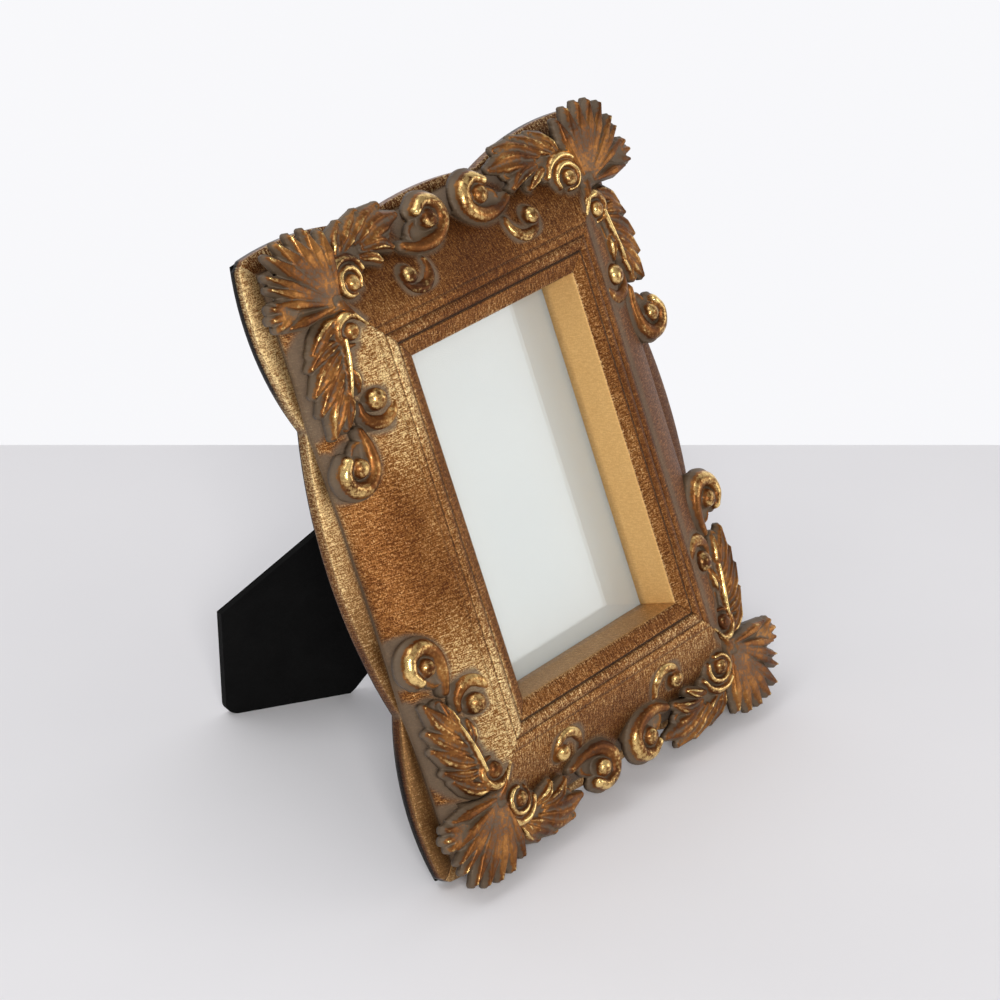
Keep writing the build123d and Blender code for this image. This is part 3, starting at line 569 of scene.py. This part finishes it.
def side_spray(carving):
    """Acanthus leaf, button and volutes at the end of a side rail."""
    bed = [(19, 10), (23, 0), (27, -10), (29.5, -20)]
    carving.stroke(bed, (2.6, 4.2, 4.2, 1.8), (-0.5, -0.4, -0.5, -0.9))
    fingers = (
        [(18.5, 16.4), (26.5, 13.6), (33.4, 8.0)], [(21.7, 8.9), (28.9, 7.6), (35.4, 3.6)],
        [(22.1, 5.4), (29.6, 1.2), (37.2, -5.6)], [(22.8, 0.8), (29.8, -5.2), (37.0, -12.6)],
        [(23.8, -5.4), (30.2, -13.0), (35.0, -22.0)], [(24.5, -8.5), (26.6, -14.7), (28.1, -20.5)],
        [(21.6, -1.1), (20.5, -5.9), (20.0, -10.4)],
    )
    for finger, width in zip(fingers, (2.9, 2.5, 3.3, 3.3, 3.6, 2.3, 2.0)):
        carving.stroke(finger, (1.2, width, width * 0.9, 0.7), (1.2, 3.0, 2.8, 0.9), 1.5, 0.42)
    stem = [(20.6, 9.0), (21.8, 1.6), (23.9, -7.0), (26.4, -15.6)]
    carving.stroke(stem, (1.1, 1.3, 1.1, 0.5), (3.2, 3.4, 3.0, 1.6))
    carving.stroke(arc((16.8, 10.8), (5.2, 5.7), -95, 165, 9), (0.8, 1.8, 2.2, 0.9), (1.0, 2.6, 3.2, 1.6))
    carving.ball((16.8, 10.6), 3.4, 0.6, 3.2)
    cup = arc((15.4, -16.6), (6.4, 7.4, 6.4), 10, -210, 9)
    carving.stroke(cup, (0.9, 2.6, 2.8, 0.9), (0.6, 2.4, 2.6, 0.8))
    carving.ball((15.6, -15.4), 4.2, 0.7)
    spiral = [
        (24.6, -24.0), (23.4, -31.0), (24.6, -38.5), (29.4, -43.2),
        (35.4, -41.8), (37.4, -36.4), (34.8, -32.0)]
    carving.stroke([(27.0, -31.0), (30.0, -38.0)], (3.6, 4.6), (-1.35, -1.3))
    carving.stroke(spiral, VOLUTE_WIDTHS, VOLUTE_HEIGHTS)
    carving.ball((30.8, -35.8), 3.7, 0.9)


def top_spray(carving):
    """Leaf rolled round its volute, hook and end volute of the top and bottom rails."""
    bed = [(30, 9), (36, 1), (38.5, -9), (37, -17)]
    carving.stroke(bed, (3.0, 4.8, 4.8, 2.6), (-0.4, -0.4, -0.8, -1.1))
    fingers = (
        [(35.5, 9.5), (41.5, 6.0), (45.8, 1.0)], [(37.0, 6.0), (42.5, -2.0), (47.0, -8.5)],
        [(38.0, -1.0), (43.0, -10.0), (46.0, -19.0)], [(37.0, -4.0), (40.0, -14.0), (40.5, -25.0)],
        [(34.8, -4.0), (34.2, -12.0), (30.8, -17.5)], [(32.4, -1.5), (31.0, -6.0), (28.2, -9.8)],
    )
    sizes = ((2.5, -1.0), (3.1, -1.2), (3.4, -1.2), (4.0, -0.4), (2.6, 0.8), (1.9, 1.2))
    for finger, (width, end) in zip(fingers, sizes):
        carving.stroke(finger, (1.3, width, width * 0.95, 0.8), (1.6, 3.1, 2.6 + end * 0.5, end), 1.5, 0.42)
    carving.stroke(arc((26.6, 8.6), (8.8, 8.2, 7.4), -75, 105, 9), (0.9, 1.9, 2.0, 0.8), (1.4, 3.1, 3.2, 1.4))
    ring = arc((26.2, 8.6), (5.4, 5.2, 4.6), -120, 190, 11)
    carving.stroke(ring, (0.8, 1.6, 1.8, 0.9), (1.2, 3.0, 3.3, 1.8))
    carving.ball((25.9, 8.6), 3.3, 1.2)
    hook = arc((20.0, -21.4), (6.6, 6.4, 6.8, 7.4), 95, 285, 11)
    carving.stroke(hook, (0.9, 2.1, 2.6, 2.3, 0.9), (1.4, 2.9, 3.2, 2.6, 1.0))
    carving.ball((19.6, -17.4), 3.4, 1.3)
    spiral = [
        (29.0, -23.0), (26.6, -30.0), (27.4, -38.5), (32.6, -44.0),
        (39.0, -42.8), (41.4, -37.6), (39.0, -33.0)]
    carving.stroke([(31.0, -31.0), (34.0, -38.5)], (3.6, 4.6), (-1.35, -1.3))
    carving.stroke(spiral, VOLUTE_WIDTHS, VOLUTE_HEIGHTS)
    carving.ball((34.8, -37.0), 3.8, 0.9)


def palmette(carving):
    """Fan of three fluted lobes over a mitre: a broad one, a small one and a scooped one."""
    root = np.array((17.0, 21.0))
    carving.stroke([root, (20.8, 28.0), (24.8, 35.4)], (2.0, 5.0, 8.0), (-0.3, -0.6, -0.8))
    carving.stroke([root, (27.0, 28.0), (36.5, 34.6)], (1.8, 2.4, 2.4), (-0.3, -0.7, -0.9))
    carving.stroke([root, (28.0, 23.6), (38.0, 25.6)], (2.0, 3.4, 5.2), (-0.2, -1.0, -1.3))
    blades = (
        (13.2, 47.4, 2.7), (20.2, 50.2, 3.0), (27.2, 50.6, 3.0), (33.8, 49.6, 2.9), (39.6, 46.8, 2.6),
        (42.8, 40.2, 1.9), (43.6, 35.9, 1.9), (43.6, 30.2, 1.9), (41.6, 20.4, 1.9),
    )
    for u, v, width in blades:
        reach = np.array((u, v)) - root
        line = [root + reach * share for share in (0.14, 0.52, 0.82, 0.97)]
        carving.stroke(line, (0.8, width * 0.72, width, 0.45), (0.8, 2.0, 2.6, 1.5), 0.5, 0.5)
    scoop = (34.5, 25.2)
    for u, v in ((44.8, 29.0), (46.0, 25.4), (44.4, 21.8)):
        rib = [scoop, (39.5 + 0.02 * u, 0.4 * scoop[1] + 0.6 * v), (u, v)]
        carving.stroke(rib, (0.6, 1.6, 2.0, 0.9), (-1.0, 0.0, 1.4, 1.6), 0.3, 0.5)
    carving.stroke([(9.5, 10.6), (13, 15), (17, 21)], (0.7, 0.9, 1.6), (3.2, 2.2, 0.8))
    carving.wear *= 0.78


def side_deck(du, dv):
    """Level of the sprays on the side rails, back from the ridge."""
    return DECK_BACK + (du - DECK_OUT) * TAN_DECK


def top_deck(du, dv):
    """The same on the top and bottom rails."""
    return DECK_BACK + (dv - DECK_OUT * RATIO) * TAN_DECK


def fan_deck(du, dv):
    """The same for the fans, falling away from the mitre."""
    return 3.0 + 0.11 * np.hypot(du - 15.0, dv - 18.0)


def side_body(du, dv):
    """How thick the side spray is under its level: down to the rail but for the outer leaves."""
    seated = np.maximum(1 - smooth(23, 29, du), 1 - smooth(2.4, 3.6, np.hypot(du - 31.2, dv + 36.0)))
    return LEAF_T + SEAT_T * seated


def top_body(du, dv):
    """The same for the sprays of the top and bottom rails."""
    seated = np.maximum(1 - smooth(26, 33, dv), 1 - smooth(2.4, 3.6, np.hypot(dv - 35.2, du + 37.2)))
    return LEAF_T + SEAT_T * seated


def fan_body(du, dv):
    """The same for the fans, which are seated round their root."""
    return LEAF_T + 0.2 + SEAT_T * (1 - smooth(8, 18, np.hypot(du - 17.0, dv - 21.0)))


def carved_height(du, dv):
    """Height of all the relief of one corner, at places out from the ridge corner."""
    tallest = None
    for carve, first, second in ((side_spray, du, dv), (top_spray, dv, du), (palmette, du, dv)):
        carving = Carving(first, second)
        carve(carving)
        tallest = carving.height if tallest is None else np.maximum(tallest, carving.height)
    return tallest


def ground(du, dv):
    """Depth of the rails under the relief."""
    side, top = du, dv / RATIO
    out = np.maximum(side, top) + np.clip(1.5 - np.abs(side - top), 0, None) ** 2 / 6.0
    face, rim = face_depth(out), 18.6 + 0.3 * (out - 34.6)
    return np.minimum(face, rim) - np.clip(1.0 - np.abs(face - rim), 0, None) ** 2 / 4.0


def blurred(field, times):
    """A field with its crests and hollows evened out."""
    for _ in range(times):
        field = (np.roll(field, 1, 0) + np.roll(field, -1, 0) + field) / 3
        field = (np.roll(field, 1, 1) + np.roll(field, -1, 1) + field) / 3
    return field


def build_relief(name, carve, deck, body, swapped, span_u, span_v, sign_x, sign_z, replaced):
    """A closed piece of relief over one corner of the frame."""
    nu, nv = int((span_u[1] - span_u[0]) / PITCH), int((span_v[1] - span_v[0]) / PITCH)
    du, dv = np.meshgrid(np.linspace(*span_u, nu + 1), np.linspace(*span_v, nv + 1), indexing="ij")
    carving = Carving(dv, du) if swapped else Carving(du, dv)
    carve(carving)
    height = carving.height
    crest = height - blurred(np.clip(height, EDGE, None), 9)
    rub = np.clip(0.28 + 0.38 * crest + 0.09 * height, 0, 1) * carving.wear
    slope_u, slope_v = np.gradient(height, du[:, 0], dv[0])
    pull = np.clip(EDGE - height, 0, 0.7) / (slope_u ** 2 + slope_v ** 2 + 0.3)
    x, z = du + pull * slope_u, dv + pull * slope_v
    front, seat = deck(x, z) - np.clip(height, EDGE, None), ground(x, z) + 0.8
    behind = np.maximum(front + 1.2, np.minimum(seat, front + body(x, z)))
    kept = (height > EDGE) & (front < seat)

    shape = bmesh.new()
    bmesh.ops.create_grid(shape, x_segments=nu, y_segments=nv, size=1.0)
    shape.verts.layers.float.new("rub")
    shape.verts.layers.float.new("behind")
    rub_layer, behind_layer = shape.verts.layers.float["rub"], shape.verts.layers.float["behind"]
    for vert in shape.verts:
        i, j = round((vert.co.x + 1) / 2 * nu), round((vert.co.y + 1) / 2 * nv)
        vert[rub_layer], vert[behind_layer] = rub[i, j], behind[i, j]
        vert.co = ((RIDGE_X + x[i, j]) * sign_x, front[i, j], (RIDGE_Z + z[i, j]) * sign_z)
        vert.tag = bool(kept[i, j])
    outside = [face for face in shape.faces if not any(vert.tag for vert in face.verts)]
    bmesh.ops.delete(shape, geom=outside, context="FACES")
    under = bmesh.ops.extrude_face_region(shape, geom=shape.faces, use_keep_orig=True)["geom"]
    for part in under:
        if isinstance(part, bmesh.types.BMVert):
            part.co.y = part[behind_layer]
    bmesh.ops.recalc_face_normals(shape, faces=shape.faces)
    return settle(shape, name, "frame", GILT_CARVING, replaced)


RAILS = (
    ("rail_right", False, 1), ("rail_left", False, -1), ("rail_top", True, 1), ("rail_bottom", True, -1),
)
for number, (name, on_top, sign) in enumerate(RAILS):
    build_rail(name, on_top, sign, number)

# Name, carving, level, thickness, whether it runs along the top, spans out from the corner, and node
RELIEFS = (
    ("palmette_{up}_{hand}", palmette, fan_deck, fan_body, False, (7, 48), (7, 55), "corner_fan_{up}_{hand}"),
    ("spray_{hand}_{up}", side_spray, side_deck, side_body, False, (5, 42), (-49, 22), "sprays_{hand}"),
    ("spray_{up}_{hand}", top_spray, top_deck, top_body, True, (-50, 22), (8, 52), "sprays_{up}"),
)
for up, sign_z in (("top", 1), ("bottom", -1)):
    for hand, sign_x in (("left", -1), ("right", 1)):
        for name, *drawing, node in RELIEFS:
            name, node = name.format(up=up, hand=hand), node.format(up=up, hand=hand)
            build_relief(name, *drawing, sign_x, sign_z, [node])


# Glass, rivets and screws

def build_glass():
    """Pane with ground edges, a hair clear of the card behind it."""
    shape = bmesh.new()
    bmesh.ops.create_cube(shape, size=1.0)
    bmesh.ops.scale(shape, vec=PANE, verts=shape.verts)
    bmesh.ops.translate(shape, vec=(0, PANE_MIDDLE, 0), verts=shape.verts)
    bmesh.ops.bevel(
        shape, geom=shape.edges, offset=PANE_BEVEL, offset_type="OFFSET", segments=1, profile=0.5,
        affect="EDGES", material=-1)
    piece = settle(shape, "ground_glass", "frame", GLASS, ["glass_pane"])
    piece.data.shade_flat()


def turned(shape, profile, onto):
    """Adds a solid turned about its upright axis, set in place by a matrix."""
    verts = [shape.verts.new((reach, 0, height)) for reach, height in profile]
    edges = [shape.edges.new(pair) for pair in zip(verts, verts[1:])]
    before = set(shape.verts) - set(verts)
    bmesh.ops.spin(
        shape, geom=verts + edges, cent=(0, 0, 0), axis=(0, 0, 1), angle=2 * pi, steps=28, use_merge=True)
    made = [vert for vert in shape.verts if vert not in before]
    bmesh.ops.remove_doubles(shape, verts=made, dist=0.001)
    made = [vert for vert in shape.verts if vert not in before]
    bmesh.ops.transform(shape, matrix=onto, verts=made)
    return made


def cut_away(shape, verts, point, normal):
    """Takes off what lies on the far side of a plane and closes the cut."""
    parts = set(verts) | {e for v in verts for e in v.link_edges} | {f for v in verts for f in v.link_faces}
    cut = bmesh.ops.bisect_plane(
        shape, geom=list(parts), plane_co=point, plane_no=normal, clear_outer=True)["geom_cut"]
    bmesh.ops.holes_fill(shape, edges=[part for part in cut if isinstance(part, bmesh.types.BMEdge)], sides=0)


def build_rivets():
    """Brass domes, two through each leaf of the hinge."""
    across, down = cos(HINGE_SLANT), sin(HINGE_SLANT)
    x, y, z = HINGE_AT
    hinge = Matrix(((across, -down, 0, x), (0, 0, 1, y), (-down, -across, 0, z), (0, 0, 0, 1)))
    swing = Matrix.Rotation(LEG_OPEN, 4, "X")
    dome = [(0, 0.75), (0.7, 0.7), (1.3, 0.52), (1.75, 0.2), (1.9, 0.0), (1.1, -0.3), (0, -0.3)]
    for name, body, onto in (
            ("board_rivets", "frame", [hinge @ Matrix.Translation((u, -8.0, -1.4)) for u in (-7, 7)]),
            ("leg_rivets", "leg", [hinge @ swing @ Matrix.Translation((u, 9.0, 2.5)) for u in (-6, 6)])):
        shape = bmesh.new()
        for one in onto:
            turned(shape, dome, one)
        bmesh.ops.recalc_face_normals(shape, faces=shape.faces)
        settle(shape, name, body, BRASS)


def build_screws():
    """Slotted heads over the turn buttons."""
    shape = bmesh.new()
    low_part = [(0, 0.7), (2.62, 0.7), (2.7, 0.6), (2.7, 0.08), (2.6, 0.0), (0, 0.0)]
    high_part = [(0, 1.3), (1.5, 1.24), (2.3, 1.02), (2.62, 0.7), (0, 0.7)]
    for (x, z), turn in zip(SCREWS_AT, (20, 75, 130, 50)):
        onto = Matrix.Translation((x, SCREW_SEAT, z)) @ Matrix.Rotation(radians(-90), 4, "X")
        turned(shape, low_part, onto)
        across = Vector((cos(radians(turn)), 0, sin(radians(turn))))
        for side in (-1, 1):
            half = turned(shape, high_part, onto)
            cut_away(shape, half, Vector((x, SCREW_SEAT, z)) + across * SLOT_HALF * side, across * -side)
    bmesh.ops.recalc_face_normals(shape, faces=shape.faces)
    settle(shape, "slotted_heads", "frame", STEEL, ["button_screws"])


build_glass()
build_rivets()
build_screws()

finishes = {
    "photo_card": PAPER, "backing_board": VELVET, "easel_leg": VELVET, "back_felt": FELT,
    "hinge_fixed_leaf": BRASS, "hinge_leg_leaf": BRASS, "hinge_pin": BRASS,
}
finishes.update({f"turn_button_{side}": STEEL for side in ("left", "right", "top", "bottom")})
for node, finish in finishes.items():
    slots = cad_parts[node].data.materials
    slots.clear()
    slots.append(finish)


# Table, light and camera

LENS, SENSOR = 125.29, 36.0
TABLE_EDGE = 0.055         # over the middle of the picture, as a share of its width

lens = bpy.data.cameras.new("viewpoint")
lens.lens, lens.sensor_width, lens.clip_end = LENS, SENSOR, 20.0
camera = bpy.data.objects.new("viewpoint", lens)
seen_from = Matrix.Translation((-0.85993, -0.90907, 0.29622))
seen_from = seen_from @ Euler([radians(a) for a in (76.04002, 17.29808, -46.70582)]).to_matrix().to_4x4()
camera.matrix_world = STANDING @ seen_from
bpy.context.collection.objects.link(camera)
bpy.context.scene.camera = camera
bpy.context.scene.view_settings.view_transform = "Standard"


def stage(name, corners, finish):
    """A flat sheet that isn't part of the frame."""
    shape = bmesh.new()
    bmesh.ops.create_grid(shape, x_segments=1, y_segments=1, size=1.0)
    for vert in shape.verts:
        vert.co = corners[(vert.co.x > 0, vert.co.y > 0)]
    mesh = bpy.data.meshes.new(name)
    shape.to_mesh(mesh)
    shape.free()
    mesh.materials.append(finish.material)
    piece = bpy.data.objects.new(name, mesh)
    bpy.context.collection.objects.link(piece)


def backdrop():
    """Pale table that ends behind the frame, and a white screen far behind it."""
    table, screen = Finish("pale_table"), Finish("white_screen")
    cloud = table.noise(table.object_place(), 6.0, 3.0, 0.5)
    table.shade(Base_Color=table.mixed(cloud, rgb(230, 229, 233), rgb(238, 237, 240)), Roughness=0.75)
    cloud = screen.noise(screen.object_place(), 0.8, 2.0, 0.5)
    screen.shade(
        Base_Color=(0.0, 0.0, 0.0, 1.0), Specular_IOR_Level=0.0, Roughness=1.0,
        Emission_Color=screen.mixed(cloud, rgb(247, 247, 250), rgb(250, 250, 252)), Emission_Strength=1.0)
    eye = camera.matrix_world.translation
    edge = []
    for across in (-0.3, 0.3):
        ray = camera.matrix_world.to_3x3() @ Vector((across * SENSOR, TABLE_EDGE * SENSOR, -LENS))
        edge.append(eye - ray * (eye.z / ray.z))
    along = (edge[1] - edge[0]).normalized()
    away = Vector((-along.y, along.x, 0))
    middle = (edge[0] + edge[1]) / 2
    wide, deep = along * 3, away * 4
    stage("table_top", {
        (False, False): middle - wide - deep, (True, False): middle + wide - deep,
        (False, True): middle - wide, (True, True): middle + wide}, table)
    far, under, over = middle + away * 1.7, Vector((0, 0, 2)), Vector((0, 0, 2.5))
    stage("back_screen", {
        (False, False): far - wide - under, (True, False): far + wide - under,
        (False, True): far - wide + over, (True, True): far + wide + over}, screen)


def lamp(name, at, aim, size, power, colour):
    light = bpy.data.lights.new(name, "AREA")
    light.energy, light.size, light.color = power, size, colour
    holder = bpy.data.objects.new(name, light)
    holder.location = at
    holder.rotation_euler = (Vector(aim) - Vector(at)).to_track_quat("-Z", "Y").to_euler()
    bpy.context.collection.objects.link(holder)


backdrop()
lamp("key_by_camera", (-1.15, -1.15, 1.0), (0, 0, 0.1), 0.45, 15, (1.0, 0.98, 0.95))
lamp("low_right", (1.2, -1.5, 0.4), (0, 0, 0.1), 1.0, 7, (1.0, 0.98, 0.96))
lamp("ceiling", (-0.6, 0.4, 1.9), (0, 0, 0.1), 1.2, 9, (1.0, 1.0, 1.0))

world = bpy.data.worlds.new("studio")
bpy.context.scene.world = world
world.use_nodes = True
world.node_tree.nodes["Background"].inputs[0].default_value = (1.0, 1.0, 1.0, 1.0)
world.node_tree.nodes["Background"].inputs[1].default_value = 0.42
